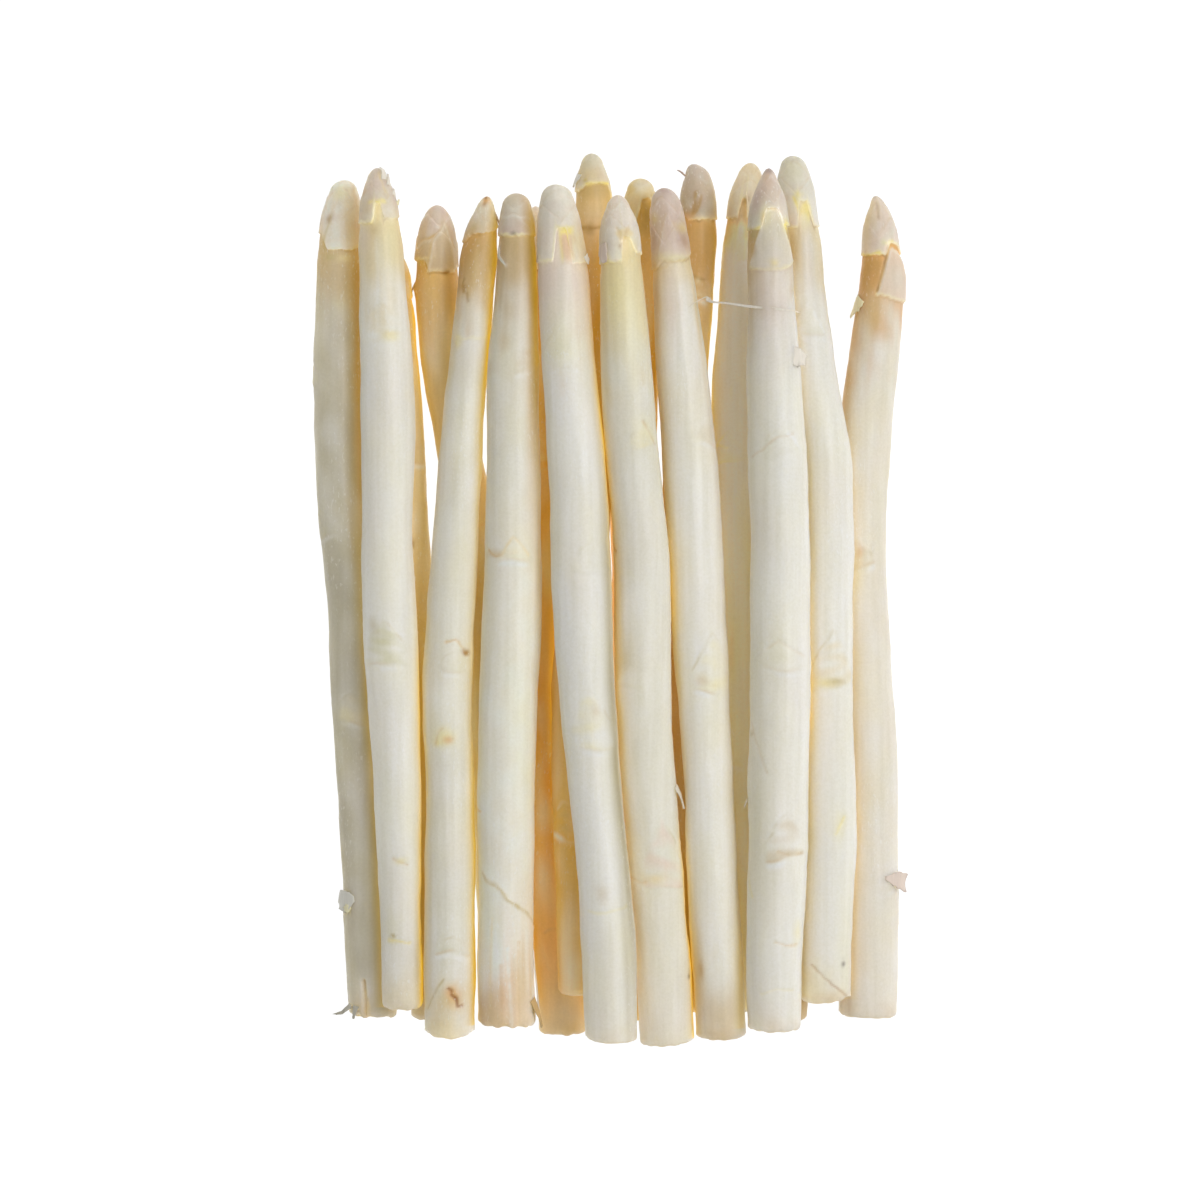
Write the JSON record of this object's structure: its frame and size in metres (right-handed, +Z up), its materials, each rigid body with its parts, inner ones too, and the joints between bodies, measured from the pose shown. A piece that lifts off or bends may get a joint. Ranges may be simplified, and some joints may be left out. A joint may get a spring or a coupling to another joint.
{
  "type": "bundle of asparagus",
  "caption": "Loose bunch of peeled white asparagus spears with scaly pointed tips, lying flat side by side in layers, all tips one way.",
  "frame": {"origin": "on the surface that the bunch lies on, under the middle of its bounding box", "axes": "+Y along the spears towards their tips, +Z up, +X to the right seen from above with the tips pointing away"},
  "size_m": [0.1552, 0.2324, 0.0368],
  "materials": {
    "pale_spear": "satin, moist peeled flesh",
    "shaded_spear": "satin, moist peeled flesh, more golden"
  },
  "bodies": {
    "root": {"spear_01": "shaded_spear", "spear_02": "pale_spear", "spear_03": "shaded_spear", "spear_04": "shaded_spear", "spear_05": "pale_spear", "spear_06": "pale_spear", "spear_07": "shaded_spear", "spear_08": "pale_spear", "spear_09": "shaded_spear", "spear_10": "pale_spear", "spear_11": "shaded_spear", "spear_12": "pale_spear", "spear_13": "shaded_spear", "spear_14": "shaded_spear", "spear_15": "pale_spear", "spear_16": "shaded_spear", "spear_17": "pale_spear", "spear_18": "shaded_spear"}
  },
  "joints": []
}
